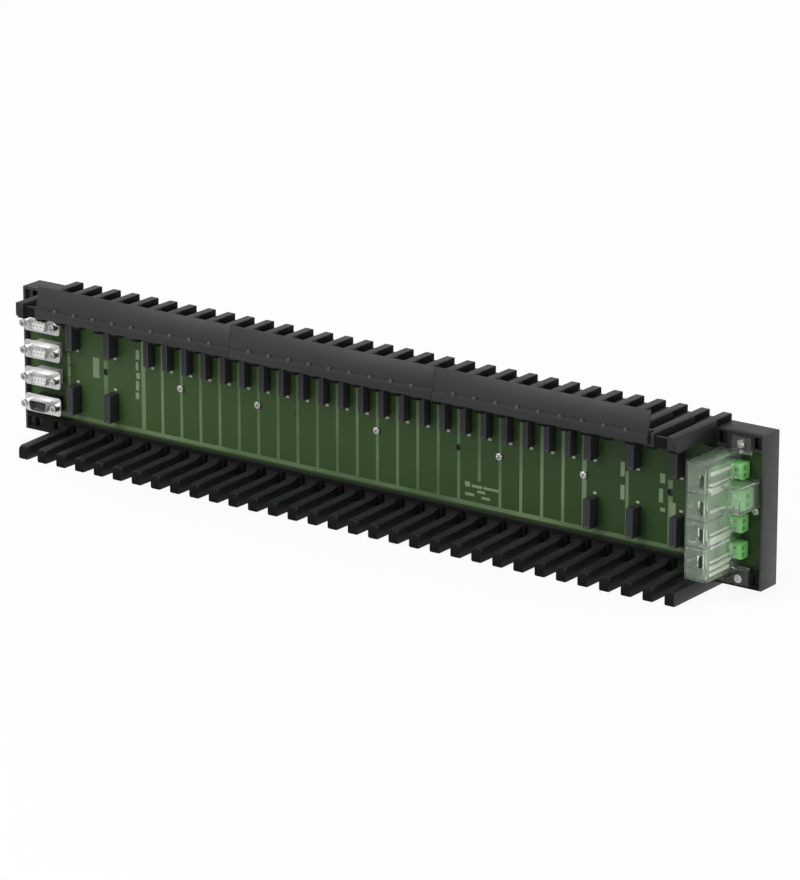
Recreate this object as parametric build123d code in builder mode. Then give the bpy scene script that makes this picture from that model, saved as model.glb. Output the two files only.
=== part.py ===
"""Backplane base for plug-in modules, hung on a mounting panel.

Millimetres. X runs along the row of slots, Y to the rear, Z up. The origin is the middle of the
footprint, on the flat undersides of the lower fingers, where the part stands.
"""
import os

from build123d import *

# Slots: double-width ones for the controllers and the supplies, single ones for the modules between
slot_pitch = 16.0
wide_left = 2
narrow_slots = 22
wide_right = 3
slot_count = 2 * wide_left + narrow_slots + 2 * wide_right

# Tray
left_bay = 35.2
right_bay = 37.5
length = left_bay + slot_count * slot_pitch + right_bay
tray_height = 100.0
tray_depth = 13.7
end_wall = 1.5
tray_wall = 2.5
web = 2.0
rib = 1.6

# Circuit board, let into the front of the tray
board_thickness = 1.6
board_height = 80.0
board_gap = 0.5
mount_hole = 3.0
hole_sides = 12
guide_hole = 4.0
screwed_lines = (6, 10, 16, 22, 26)
guide_lines = (2, 12, 20, 30)
end_screw = 6.7
boss = 8.0

# Combs: the fins above and the fingers below stand on every slot line
fin_width = 6.5
finger_width = 7.0
comb_rise = 4.3
comb_reach = 50.2
strip_thickness = 4.1
strip_height = 11.5
window_width = 5.5
window_height = 6.5
rail_thickness = 2.5
rail_bottom = 8.7
rail_drop = 1.6
rail_recess = 1.0
fin_front_height = 11.1

# Label carriers, clipped over the front rail of the upper comb
carriers = 3
carrier_slots = 10
carrier_height = 18.6
carrier_band = 6.4
carrier_thickness = 1.5
band_step = 1.0
bump_radius = 2.6
bump_step = 0.5
carrier_below_top = 4.8
carrier_lean = 2.1
clip_thickness = 1.2

# Module sockets on the board: small ones in single slots, larger ones in double slots
socket_width = 4.3
socket_height = 20.4
socket_depth = 7.5
socket_level = 22.0
wide_socket_width = 5.4
wide_socket_height = 19.3
wide_socket_depth = 9.6
wide_socket_level = 22.4
socket_offset = 8.0
contact_slot = 1.3

# Nine-pin ports in the left bay
port_count = 4
port_pitch = 18.8
port_flange = 30.8
port_flange_height = 12.5
port_standoff = 10.8
flange_sheet = 0.8
port_body_width = 17.6
port_body_height = 10.4
insulator_recess = 2.4
port_reach = 5.8
port_mouth_width = 16.4
port_mouth_height = 7.9
rim_sheet = 0.5
jack_spacing = 24.99
jack_flats = 4.75
jack_height = 5.5
jack_bore = 2.6

# Plug-in supply terminals in the right bay
terminal_count = 4
terminal_pitch = 17.1
pole_pitch = 5.08
terminal_height = 10.2
header_length = 8.2
header_depth = 13.0
socket_mouth = 3.2
plug_length = 12.1
plug_depth = 14.5
plug_lift = 2.5
well_radius = 1.7

# Clear hood over the supply terminals
hood_width = 16.2
hood_depth = 40.5
hood_wall = 1.6
hood_gap = 3.8
bulge_width = 14.0
bulge_depth = 25.0
bulge_bottom = 3.6
bulge_height = 17.0
tab_right = 25.2
tab_screw = 18.7
tab_hole = 2.6
hood_slot = 3.8

# Keyholes in the back for the screws of the mounting panel
keyhole_lines = (5, 27)
keyhole_level = 25.0
keyhole_plate = 2.5
keyhole_head = 9.0
keyhole_slot = 4.6
keyhole_rise = 8.0

# Positions that follow from the sizes above
left_x = -length / 2
right_x = length / 2
depth = comb_reach + carrier_thickness + band_step + bump_step + tray_depth
rear_y = depth / 2
board_y = rear_y - tray_depth
strip_y = board_y - strip_thickness
reach_y = board_y - comb_reach
middle_z = tray_height / 2 + comb_rise
top_z = middle_z + tray_height / 2
bottom_z = comb_rise
fin_top_z = top_z + comb_rise
hood_x = left_x + left_bay + slot_count * slot_pitch + hood_gap


def slot_x(line):
    """X of a slot line, counted from the left."""
    return left_x + left_bay + line * slot_pitch


def front_plane(y):
    """Upright plane at depth y, with X to the right, Z up, and the front of the part on its plus side."""
    return Plane.XZ.offset(-y)


def finish(name, builder):
    """Label the part and write it as one STEP file."""
    builder.part.label = name
    export_step(builder.part, f"parts/{name}.step")


os.makedirs("parts", exist_ok=True)

# Tray: open in front for the board, and hollow between its ribs at the back
cell_height = tray_height / 2 - tray_wall - rib / 2
cell_level = rib / 2 + cell_height / 2
cell_depth = tray_depth - board_thickness - web
screw_x = [slot_x(line) for line in screwed_lines] + [right_x - end_screw]

with BuildPart() as base_tray:
    with BuildSketch(Plane.YZ.offset(left_x)):
        with Locations((board_y, middle_z)):
            Rectangle(tray_depth, tray_height, align=(Align.MIN, Align.CENTER))
    extrude(amount=length)
    # End walls stand forward to the face of the combs' base strips
    for wall_x in (left_x, right_x - end_wall):
        with BuildSketch(Plane.YZ.offset(wall_x)):
            with Locations((strip_y, middle_z)):
                Rectangle(strip_thickness, tray_height, align=(Align.MIN, Align.CENTER))
        extrude(amount=end_wall)
    # Recess for the board
    with BuildSketch(front_plane(board_y)):
        with Locations((0, middle_z)):
            Rectangle(length - 2 * end_wall, board_height + 2 * board_gap)
    extrude(amount=-board_thickness, mode=Mode.SUBTRACT)
    # Cells between the ribs, above and below the middle rib
    with BuildSketch(front_plane(rear_y)):
        for side in (-1, 1):
            for line in range(0, slot_count, 2):
                with Locations((slot_x(line + 1), middle_z + side * cell_level)):
                    Rectangle(2 * slot_pitch - rib, cell_height)
            for bay_x, width in ((left_x + left_bay / 2, left_bay), (right_x - right_bay / 2, right_bay)):
                with Locations((bay_x, middle_z + side * cell_level)):
                    Rectangle(width - 2 * end_wall, cell_height)
    extrude(amount=cell_depth, mode=Mode.SUBTRACT)
    # Bosses of the board's screws, on the middle rib
    with BuildSketch(front_plane(rear_y)):
        with Locations(*[(x, middle_z) for x in screw_x]):
            Rectangle(boss, boss)
    extrude(amount=cell_depth)
    # Keyhole plates across four of the cells
    with BuildSketch(front_plane(rear_y)):
        for line in keyhole_lines:
            for side in (-1, 1):
                with Locations((slot_x(line), middle_z + side * keyhole_level)):
                    Rectangle(2 * slot_pitch - rib, 30)
    extrude(amount=keyhole_plate)
    with BuildSketch(front_plane(rear_y)):
        for line in keyhole_lines:
            for side in (-1, 1):
                low_z = middle_z + side * keyhole_level - keyhole_rise / 2
                with Locations((slot_x(line), low_z)):
                    Circle(keyhole_head / 2)
                    Rectangle(keyhole_slot, keyhole_rise, align=(Align.CENTER, Align.MIN))
    extrude(amount=keyhole_plate, mode=Mode.SUBTRACT)
finish("base_tray", base_tray)

# Circuit board with its screw holes and the larger guide holes, drawn with few sides
with BuildPart() as circuit_board:
    with BuildSketch(front_plane(board_y)):
        with Locations((0, middle_z)):
            Rectangle(length - 2 * end_wall - 2 * board_gap, board_height)
        with Locations(*[(x, middle_z) for x in screw_x]):
            RegularPolygon(mount_hole / 2, hole_sides, mode=Mode.SUBTRACT)
        with Locations(*[(slot_x(line), middle_z) for line in guide_lines]):
            RegularPolygon(guide_hole / 2, hole_sides, mode=Mode.SUBTRACT)
    extrude(amount=-board_thickness)
finish("circuit_board", circuit_board)

# Base strip of a comb: it closes the tray's rim and has a window in the middle of every slot
window_level = top_z - strip_height / 2
window_x = [slot_x(line + 0.5) for line in range(-2, slot_count + 1)]
window_x += [left_x + end_wall + window_width / 2, right_x - end_wall - window_width / 2]

# Side outline of a fin, straight above and curving down to the base strip below
with BuildPart() as fin:
    with BuildSketch(Plane.YZ.offset(-fin_width / 2)):
        with BuildLine():
            rear_top = (rear_y, fin_top_z)
            front_top = (reach_y, fin_top_z)
            front_low = (reach_y, fin_top_z - fin_front_height + 2.6)
            toe = (reach_y + 2.6, fin_top_z - fin_front_height)
            bend = (reach_y + 24, fin_top_z - fin_front_height + 0.7)
            haunch = (strip_y - 9, fin_top_z - fin_front_height - 1.2)
            foot = (strip_y, top_z - strip_height - 2.5)
            Polyline((rear_y, top_z), rear_top, front_top, front_low, toe, bend)
            Polyline(bend, haunch, foot, (strip_y, top_z), (rear_y, top_z))
        make_face()
    extrude(amount=fin_width)

with BuildPart() as top_comb:
    with BuildSketch(front_plane(board_y)):
        with Locations((0, window_level)):
            Rectangle(length - 2 * end_wall, strip_height)
        with Locations(*[(x, window_level + 0.4) for x in window_x]):
            Rectangle(window_width, window_height + 1, mode=Mode.SUBTRACT)
    extrude(amount=strip_thickness)
    with Locations(*[(slot_x(line), 0, 0) for line in range(slot_count + 1)]):
        add(fin.part)
    # Front rail that ties the fins together, a little behind and below their front edges
    with BuildSketch(Plane.YZ.offset(slot_x(0))):
        with Locations((reach_y + rail_recess, fin_top_z - rail_bottom)):
            Rectangle(rail_thickness, rail_bottom - rail_drop, align=(Align.MIN, Align.MIN))
    extrude(amount=slot_count * slot_pitch)
finish("top_comb", top_comb)

# Side outline of a finger: flat below, a short root above, and a blunt nose
with BuildPart() as finger:
    with BuildSketch(Plane.YZ.offset(-finger_width / 2)):
        with BuildLine():
            root = (strip_y, bottom_z + 8.6)
            knee = (strip_y - 3.5, bottom_z + 6.8)
            heel = (strip_y - 11, bottom_z + 6.0)
            nose_top = (reach_y + 3.4, bottom_z + 4.9)
            brow = (reach_y + 1.1, bottom_z + 4.0)
            nose = (reach_y, bottom_z + 1.8)
            nose_low = (reach_y + 0.4, 1.2)
            chin = (reach_y + 1.5, 0)
            Polyline((strip_y, bottom_z), root, knee, heel, nose_top, brow, nose, nose_low)
            Polyline(nose_low, chin, (rear_y, 0), (rear_y, bottom_z), (strip_y, bottom_z))
        make_face()
    extrude(amount=finger_width)

with BuildPart() as bottom_comb:
    with BuildSketch(front_plane(board_y)):
        with Locations((0, bottom_z + strip_height / 2)):
            Rectangle(length - 2 * end_wall, strip_height)
        with Locations(*[(x, bottom_z + strip_height / 2) for x in window_x]):
            Rectangle(window_width, window_height, mode=Mode.SUBTRACT)
    extrude(amount=strip_thickness)
    with Locations(*[(slot_x(line), 0, 0) for line in range(slot_count + 1)]):
        add(finger.part)
finish("bottom_comb", bottom_comb)

# Label carriers: a plate in front of the rail, a ledge over it, and a clip behind it in every slot
carrier_low = fin_top_z - carrier_below_top
carrier_high = carrier_low + carrier_height
carrier_front = reach_y - carrier_thickness
clip_y = reach_y + rail_recess + rail_thickness
for number in range(carriers):
    first_line = 1 + number * carrier_slots
    start_x = slot_x(first_line) + (0.1 if number else 0)
    span = slot_x(first_line + carrier_slots) - start_x
    with BuildPart() as label_carrier:
        with BuildSketch(Plane.YZ.offset(start_x)):
            with BuildLine():
                Polyline(
                    (reach_y, carrier_low),
                    (reach_y, fin_top_z),
                    (clip_y + clip_thickness, fin_top_z),
                    (clip_y + clip_thickness, fin_top_z + 1.2),
                    (reach_y + 0.5, fin_top_z + 1.2),
                    (reach_y + 0.5 + carrier_lean, carrier_high),
                    (carrier_front + carrier_lean + 0.4, carrier_high),
                    (carrier_front, carrier_low + carrier_band + 0.4),
                    (carrier_front - band_step, carrier_low + carrier_band - 0.4),
                    (carrier_front - band_step, carrier_low + 0.6),
                    (carrier_front - band_step + 0.6, carrier_low),
                    close=True,
                )
            make_face()
        extrude(amount=span)
        # Clips that drop behind the rail between the fins
        with BuildSketch(Plane.XY.offset(fin_top_z)):
            with Locations((start_x + span / 2, clip_y)):
                with GridLocations(slot_pitch, 0, carrier_slots, 1):
                    Rectangle(6.0, clip_thickness, align=(Align.CENTER, Align.MIN))
        extrude(amount=-rail_bottom + 1.5)
        # Half-round thumb pads on the slot lines
        with BuildSketch(front_plane(carrier_front)):
            for line in range(first_line + 1, first_line + carrier_slots):
                with Locations((slot_x(line), carrier_low + carrier_band - 0.8)):
                    RegularPolygon(bump_radius, 8)
        extrude(amount=band_step + bump_step)
    finish(f"label_carrier_{number + 1}", label_carrier)

# Module sockets: one high in every slot, and a second one low in the double-width slots
socket_lines = list(range(0, 2 * wide_left, 2))
socket_lines += list(range(2 * wide_left, 2 * wide_left + narrow_slots))
socket_lines += list(range(2 * wide_left + narrow_slots, slot_count, 2))
for number, line in enumerate(socket_lines, start=1):
    is_wide = line < 2 * wide_left or line >= 2 * wide_left + narrow_slots
    for place, side in (("upper", 1), ("lower", -1)):
        if place == "lower" and not is_wide:
            continue
        width = wide_socket_width if is_wide else socket_width
        height = wide_socket_height if is_wide else socket_height
        reach = wide_socket_depth if is_wide else socket_depth
        level = middle_z + side * (wide_socket_level if is_wide else socket_level)
        with BuildPart() as module_socket:
            with BuildSketch(front_plane(board_y)):
                with Locations((slot_x(line) + socket_offset, level)):
                    Rectangle(width, height)
            extrude(amount=reach)
            with BuildSketch(front_plane(board_y - reach)):
                with Locations((slot_x(line) + socket_offset, level)):
                    Rectangle(contact_slot, height - 3.6)
            extrude(amount=-reach + 2, mode=Mode.SUBTRACT)
        finish(f"socket_{place}_{number:02d}", module_socket)

# Nine-pin ports: a metal shell with a flange, its insulator, and two hexagonal jack screws each
port_x = slot_x(0) - 14.1
flange_y = board_y - port_standoff
port_front = flange_y - port_reach
port_levels = [middle_z + ((port_count - 1) / 2 - number) * port_pitch for number in range(port_count)]


def port_outline(y, level, inset):
    """The D-shaped outline of a port at depth y, drawn in by an inset."""
    with BuildSketch(front_plane(y)) as outline:
        with Locations((port_x, level)):
            Trapezoid(port_mouth_width - 2 * inset, port_mouth_height - 2 * inset, 80, rotation=180)
        fillet(outline.vertices(), radius=2.4 - inset)
    return outline.sketch


for number, level in enumerate(port_levels, start=1):
    rim_outline = port_outline(flange_y, level, 0)
    bore_outline = port_outline(port_front, level, rim_sheet)
    with BuildPart() as port_shell:
        with BuildSketch(front_plane(flange_y + flange_sheet)):
            with Locations((port_x, level)):
                flange = Rectangle(port_flange, port_flange_height)
            chamfer(flange.vertices(), length=1.6)
        extrude(amount=flange_sheet)
        extrude(rim_outline, amount=port_reach)
        extrude(bore_outline, amount=-(port_reach + flange_sheet), mode=Mode.SUBTRACT)
    finish(f"port_shell_{number}", port_shell)
    # Plastic body: a block that carries the shell on the board, and a nose inside the rim
    nose_reach = port_reach - insulator_recess + flange_sheet
    nose_outline = port_outline(flange_y + flange_sheet, level, rim_sheet)
    with BuildPart() as port_insulator:
        with BuildSketch(front_plane(board_y)):
            with Locations((port_x, level)):
                Rectangle(port_body_width, port_body_height)
        extrude(amount=port_standoff - flange_sheet)
        extrude(nose_outline, amount=nose_reach)
    finish(f"port_insulator_{number}", port_insulator)

# Hexagonal jack screws, two to each port
with BuildPart() as jack_screws:
    port_places = [(port_x, level) for level in port_levels]
    with BuildSketch(front_plane(flange_y)):
        with Locations(*port_places):
            with GridLocations(jack_spacing, 0, 2, 1):
                RegularPolygon(jack_flats / 2, 6, major_radius=False)
    extrude(amount=jack_height)
    with BuildSketch(front_plane(flange_y - jack_height)):
        with Locations(*port_places):
            with GridLocations(jack_spacing, 0, 2, 1):
                Circle(jack_bore / 2)
    extrude(amount=-jack_height + 0.5, mode=Mode.SUBTRACT)
finish("jack_screws", jack_screws)

# Supply terminals: a header soldered to the board and a two-pole plug pushed into it from the right
header_x = hood_x + hood_wall + 0.3
plug_x = header_x + header_length
plug_front = board_y - plug_lift - plug_depth
clamp_x = plug_x + 1.9
terminal_levels = [
    middle_z + 0.6 + ((terminal_count - 1) / 2 - number) * terminal_pitch for number in range(terminal_count)
]
for number, level in enumerate(terminal_levels, start=1):
    with BuildPart() as terminal_header:
        with BuildSketch(front_plane(board_y)):
            with Locations((header_x, level)):
                Rectangle(header_length, terminal_height, align=(Align.MIN, Align.CENTER))
        extrude(amount=header_depth)
        chamfer(terminal_header.edges().filter_by(Axis.Z).group_by(Axis.Y)[0].sort_by(Axis.X)[0], length=2.0)
        with BuildSketch(Plane.YZ.offset(plug_x)):
            with Locations((board_y - header_depth / 2, level)):
                Rectangle(header_depth - 2.4, terminal_height - 2.0)
        extrude(amount=-socket_mouth, mode=Mode.SUBTRACT)
    finish(f"terminal_header_{number}", terminal_header)
    with BuildPart() as terminal_plug:
        with BuildSketch(front_plane(board_y - plug_lift)):
            with Locations((plug_x, level)):
                Rectangle(plug_length, terminal_height, align=(Align.MIN, Align.CENTER))
        extrude(amount=plug_depth)
        chamfer(terminal_plug.edges().filter_by(Axis.Z).group_by(Axis.Y)[0].sort_by(Axis.X)[-1], length=1.6)
        with BuildSketch(Plane.YZ.offset(plug_x)):
            with Locations((board_y - header_depth / 2, level)):
                Rectangle(header_depth - 2.4, terminal_height - 2.0)
        extrude(amount=-socket_mouth)
        # Wells of the clamp screws in front, and the wire funnels at the right end
        with BuildSketch(front_plane(plug_front)):
            with Locations((clamp_x, level)):
                with GridLocations(0, pole_pitch, 1, 2):
                    RegularPolygon(well_radius, hole_sides)
        extrude(amount=-3.2, mode=Mode.SUBTRACT)
        with BuildSketch(Plane.YZ.offset(plug_x + plug_length)):
            with Locations((plug_front + 8.2, level)):
                with GridLocations(0, pole_pitch, 1, 2):
                    Rectangle(3.9, 3.8)
        extrude(amount=-6, mode=Mode.SUBTRACT)
    finish(f"terminal_plug_{number}", terminal_plug)

# Clear hood: a deep box open towards the board, with a side box over the second plug
hood_half = tray_height / 2 - strip_height - 0.3
hood_right = hood_x + hood_width
bulge_level = middle_z + bulge_bottom + bulge_height / 2
tab_inner = hood_half - hood_wall
with BuildPart() as terminal_hood:
    with BuildSketch(front_plane(board_y)):
        with Locations((hood_x, middle_z)):
            Rectangle(hood_width, 2 * hood_half, align=(Align.MIN, Align.CENTER))
    extrude(amount=hood_depth)
    with BuildSketch(front_plane(board_y)):
        with Locations((hood_right, bulge_level)):
            Rectangle(bulge_width, bulge_height, align=(Align.MIN, Align.CENTER))
    extrude(amount=bulge_depth)
    # Broken outside corners
    chamfer(terminal_hood.faces().sort_by(Axis.Y)[0].edges(), length=0.8)
    # Inside of the box and of the side box, which is open below for the wires
    with BuildSketch(front_plane(board_y)):
        with Locations((hood_x + hood_width / 2, middle_z)):
            Rectangle(hood_width - 2 * hood_wall, 2 * (hood_half - hood_wall))
    extrude(amount=hood_depth - hood_wall, mode=Mode.SUBTRACT)
    with BuildSketch(front_plane(board_y)):
        with Locations((hood_right - hood_wall, bulge_level - hood_wall)):
            Rectangle(bulge_width, bulge_height, align=(Align.MIN, Align.CENTER))
    extrude(amount=bulge_depth - hood_wall, mode=Mode.SUBTRACT)
    # Slots in the right wall, where the plugs reach out
    with BuildSketch(front_plane(board_y)):
        with Locations(*[(hood_right - hood_wall / 2, level) for level in terminal_levels]):
            Rectangle(hood_wall, terminal_height + 1.2)
    extrude(amount=plug_lift + plug_depth + 0.6, mode=Mode.SUBTRACT)
    # Screwdriver openings in front of the clamp screws
    with BuildSketch(front_plane(board_y - hood_depth)):
        with Locations(*[(clamp_x, level) for level in terminal_levels]):
            Rectangle(hood_slot, pole_pitch + hood_slot)
    extrude(amount=-hood_wall, mode=Mode.SUBTRACT)
    # Partitions between the plugs
    with BuildSketch(front_plane(board_y - hood_depth + hood_wall)):
        for upper, lower in zip(terminal_levels, terminal_levels[1:]):
            with Locations((hood_x + hood_width / 2, (upper + lower) / 2)):
                Rectangle(hood_width - 2 * hood_wall, 1.2)
    extrude(amount=-(hood_depth - hood_wall - plug_lift - plug_depth - 1.0))
    # Tabs on the base strips of the two combs
    with BuildSketch(front_plane(strip_y)):
        with Locations((hood_x + 2, middle_z - tab_inner)):
            Rectangle(tab_right - 2, 11.6, align=(Align.MIN, Align.MAX))
        with Locations((hood_right - 5, middle_z + tab_inner)):
            Rectangle(tab_right - hood_width + 5, 10.6, align=(Align.MIN, Align.MIN))
        with Locations((hood_x + tab_screw, middle_z + 43.2), (hood_x + tab_screw, middle_z - 43.6)):
            RegularPolygon(tab_hole / 2, hole_sides, mode=Mode.SUBTRACT)
    extrude(amount=hood_wall)
finish("terminal_hood", terminal_hood)
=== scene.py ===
import math
import bmesh
import bpy
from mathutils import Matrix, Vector


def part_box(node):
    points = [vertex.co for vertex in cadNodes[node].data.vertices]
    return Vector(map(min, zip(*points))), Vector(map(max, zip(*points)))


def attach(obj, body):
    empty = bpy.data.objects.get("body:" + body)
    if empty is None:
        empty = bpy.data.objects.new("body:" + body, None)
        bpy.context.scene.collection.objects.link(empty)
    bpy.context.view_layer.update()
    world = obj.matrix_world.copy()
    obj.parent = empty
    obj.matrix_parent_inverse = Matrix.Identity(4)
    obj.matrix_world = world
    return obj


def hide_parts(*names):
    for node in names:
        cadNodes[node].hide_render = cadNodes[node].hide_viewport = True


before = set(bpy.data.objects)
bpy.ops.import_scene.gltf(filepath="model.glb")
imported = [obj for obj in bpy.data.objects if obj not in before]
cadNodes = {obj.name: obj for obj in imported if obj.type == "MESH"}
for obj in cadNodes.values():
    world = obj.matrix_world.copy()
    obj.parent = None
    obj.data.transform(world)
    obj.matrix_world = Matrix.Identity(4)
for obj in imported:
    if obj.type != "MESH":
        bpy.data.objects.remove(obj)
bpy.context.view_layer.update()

# Sizes are in millimetres, and mm turns them into Blender's metres
mm = 0.001
slotPitch = 16.0
slotCount = 32
leftBay = 35.2  # from the tray's left end to the first slot line
stripHeight = 11.5  # of the strips along the board's long edges
overlap = 1.0  # how far a cutter passes its piece, and a tongue reaches into its strip
near = 0.01  # how close a spot has to be to the plane that it is picked by
straight = 0.9  # how directly a face or an edge has to follow an axis
meshing = {"copyGap": 0.01, "gap": 0.002, "flat": 1.0, "smooth": 35.0}


def nodeBox(node):
    low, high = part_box(node)
    return low / mm, high / mm


trayLow, trayHigh = nodeBox("base_tray")
topLow, topHigh = nodeBox("top_comb")
bottomLow, bottomHigh = nodeBox("bottom_comb")
boardLow = nodeBox("circuit_board")[0]
combFront = topLow.y
stripFront = trayLow.y
boardFront = boardLow.y
middleZ = (trayLow.z + trayHigh.z) / 2


def slotLine(number):
    return trayLow.x + leftBay + number * slotPitch


# Tests for pick, which gives them a middle in millimetres and a direction
def everything(spot, facing):
    return True


def facingFront(spot, facing):
    return facing.y < -straight


def alongDepth(spot, facing):
    return abs(facing.y) > straight


def settle(name):
    # the new primitive is the piece, at the origin, with its place in its mesh
    piece = bpy.context.object
    piece.name = name
    bpy.ops.object.transform_apply()
    return piece


def startBox(name, low, high):
    bpy.ops.object.select_all(action="DESELECT")
    middle = [(a + b) / 2 * mm for a, b in zip(low, high)]
    size = [(b - a) * mm for a, b in zip(low, high)]
    bpy.ops.mesh.primitive_cube_add(size=1, location=middle, scale=size)
    return settle(name)


def startRound(name, middle, radius, length, sides=32):
    # lies from front to back
    bpy.ops.object.select_all(action="DESELECT")
    bpy.ops.mesh.primitive_cylinder_add(
        vertices=sides, radius=radius * mm, depth=length * mm,
        location=[value * mm for value in middle], rotation=(math.radians(90), 0, 0))
    return settle(name)


def startCopy(name, node):
    # a CAD node's own shape with its loose triangles merged, and without the frame's marks
    bpy.ops.object.select_all(action="DESELECT")
    source = cadNodes[node]
    source.select_set(True)
    bpy.context.view_layer.objects.active = source
    bpy.ops.object.duplicate()
    piece = bpy.context.object
    piece.name = name
    for mark in list(piece.keys()):
        if mark.startswith("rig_"):
            del piece[mark]
    piece.parent = None
    pick(piece, "VERT", everything)
    bpy.ops.mesh.remove_doubles(threshold=meshing["copyGap"] * mm)
    bpy.ops.mesh.dissolve_limited(angle_limit=math.radians(meshing["flat"]))
    leave()
    return piece


def workOn(piece):
    if bpy.context.object and bpy.context.object.mode == "EDIT":
        if bpy.context.object == piece:
            return
        leave()
    bpy.ops.object.select_all(action="DESELECT")
    piece.select_set(True)
    bpy.context.view_layer.objects.active = piece


def leave():
    bpy.ops.object.mode_set(mode="OBJECT")


def pick(piece, kind, test):
    # opens the piece and selects what passes the test
    workOn(piece)
    if piece.mode != "EDIT":
        bpy.ops.object.mode_set(mode="EDIT")
    bpy.ops.mesh.select_mode(type=kind)
    bpy.ops.mesh.select_all(action="DESELECT")
    shape = bmesh.from_edit_mesh(piece.data)
    if kind == "FACE":
        parts = [(face, face.calc_center_median(), face.normal) for face in shape.faces]
    elif kind == "EDGE":
        parts = [(edge, (edge.verts[0].co + edge.verts[1].co) / 2,
                  (edge.verts[1].co - edge.verts[0].co).normalized()) for edge in shape.edges]
    else:
        parts = [(point, point.co, point.normal) for point in shape.verts]
    for part, spot, facing in parts:
        if test(spot / mm, facing):
            part.select_set(True)
    shape.select_flush_mode()
    bmesh.update_edit_mesh(piece.data)


def pull(y):
    bpy.ops.mesh.extrude_region_move(TRANSFORM_OT_translate={"value": (0, y * mm, 0)})


def shift(x=0, y=0, z=0):
    bpy.ops.transform.translate(value=(x * mm, y * mm, z * mm))


def inset(width, sink=0):
    bpy.ops.mesh.inset(thickness=width * mm, depth=-sink * mm)


def roundOff(width, segments=3):
    bpy.ops.mesh.bevel(offset=width * mm, segments=segments, affect="EDGES")


def divide(piece, spot, facing):
    # a new loop of edges all round, where a plane crosses the piece
    pick(piece, "VERT", everything)
    bpy.ops.mesh.bisect(plane_co=[value * mm for value in spot], plane_no=facing)


def applied(piece, kind, **values):
    if piece.mode == "EDIT":
        leave()
    workOn(piece)
    modifier = piece.modifiers.new(kind.lower(), kind)
    for name, value in values.items():
        setattr(modifier, name, value)
    bpy.ops.object.modifier_apply(modifier=modifier.name)


def soften(piece, width, segments=2, angle=30):
    applied(piece, "BEVEL", width=width * mm, segments=segments, limit_method="ANGLE",
            angle_limit=math.radians(angle))


def cut(piece, cutter, keep=False):
    applied(piece, "BOOLEAN", object=cutter, operation="DIFFERENCE", solver="EXACT")
    if not keep:
        bpy.data.objects.remove(cutter)


def copied(piece, name, x=0, y=0, z=0):
    workOn(piece)
    bpy.ops.object.duplicate()
    twin = bpy.context.object
    twin.name = name
    twin.location = (x * mm, y * mm, z * mm)
    bpy.ops.object.transform_apply()
    return twin


def spread(piece, spots):
    # one copy at each spot, in place of the first piece
    twins = [copied(piece, piece.name, *spot) for spot in spots]
    bpy.data.objects.remove(piece)
    return twins


def joined(name, parts):
    bpy.ops.object.select_all(action="DESELECT")
    for part in parts:
        part.select_set(True)
    bpy.context.view_layer.objects.active = parts[0]
    bpy.ops.object.join()
    piece = bpy.context.object
    piece.name = name
    return piece


def finished(piece, material, replaced=(), merge=True):
    if merge:
        pick(piece, "VERT", everything)
        bpy.ops.mesh.remove_doubles(threshold=meshing["gap"] * mm)
        bpy.ops.mesh.select_all(action="SELECT")
        bpy.ops.mesh.normals_make_consistent(inside=False)
        leave()
    workOn(piece)
    bpy.ops.object.shade_smooth_by_angle(angle=math.radians(meshing["smooth"]))
    piece.data.materials.clear()
    piece.data.materials.append(material)
    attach(piece, "root")
    if replaced:
        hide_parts(*replaced)
    return piece


def paintShade(piece, test):
    # painted shade: a second, near-black and duller finish on the comb faces where shade falls
    piece.data.materials.append(paintedShadePlastic)
    pick(piece, "FACE", test)
    piece.active_material_index = 1
    bpy.ops.object.material_slot_assign()
    leave()


def newMaterial(name):
    material = bpy.data.materials.new(name)
    material.use_nodes = True
    return material, material.node_tree, material.node_tree.nodes["Principled BSDF"]


def addNode(tree, kind, **inputs):
    node = tree.nodes.new(kind)
    for name, value in inputs.items():
        node.inputs[name.replace("_", " ")].default_value = value
    return node


def cloudGroup():
    # soft clouds on a piece's own coordinates, as a mask between two levels and as a plain height
    group = bpy.data.node_groups.new("clouds", "ShaderNodeTree")
    for name in ("Scale", "Detail", "Breakup", "Low", "High"):
        group.interface.new_socket(name, in_out="INPUT", socket_type="NodeSocketFloat")
    group.interface.new_socket("Stretch", in_out="INPUT", socket_type="NodeSocketVector")
    for name in ("Mask", "Height"):
        group.interface.new_socket(name, in_out="OUTPUT", socket_type="NodeSocketFloat")
    given = group.nodes.new("NodeGroupInput").outputs
    result = group.nodes.new("NodeGroupOutput").inputs
    spots = group.nodes.new("ShaderNodeTexCoord")
    stretch = group.nodes.new("ShaderNodeMapping")
    noise = group.nodes.new("ShaderNodeTexNoise")
    levels = addNode(group, "ShaderNodeMapRange", From_Min=0.3, From_Max=0.7)
    for source, target in (
            (spots.outputs["Object"], stretch.inputs["Vector"]), (given["Stretch"], stretch.inputs["Scale"]),
            (stretch.outputs["Vector"], noise.inputs["Vector"]), (given["Scale"], noise.inputs["Scale"]),
            (given["Detail"], noise.inputs["Detail"]), (given["Breakup"], noise.inputs["Roughness"]),
            (noise.outputs["Fac"], levels.inputs["Value"]), (given["Low"], levels.inputs["To Min"]),
            (given["High"], levels.inputs["To Max"]), (levels.outputs["Result"], result["Mask"]),
            (noise.outputs["Fac"], result["Height"])):
        group.links.new(source, target)
    return group


cloudNodes = cloudGroup()


def clouds(tree, scale, detail=3.0, levels=(0.0, 1.0), breakup=0.55, stretch=(1, 1, 1)):
    node = tree.nodes.new("ShaderNodeGroup")
    node.node_tree = cloudNodes
    for name, value in (("Scale", scale), ("Detail", detail), ("Breakup", breakup), ("Low", levels[0]),
                        ("High", levels[1]), ("Stretch", stretch)):
        node.inputs[name].default_value = value
    return node.outputs


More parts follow.
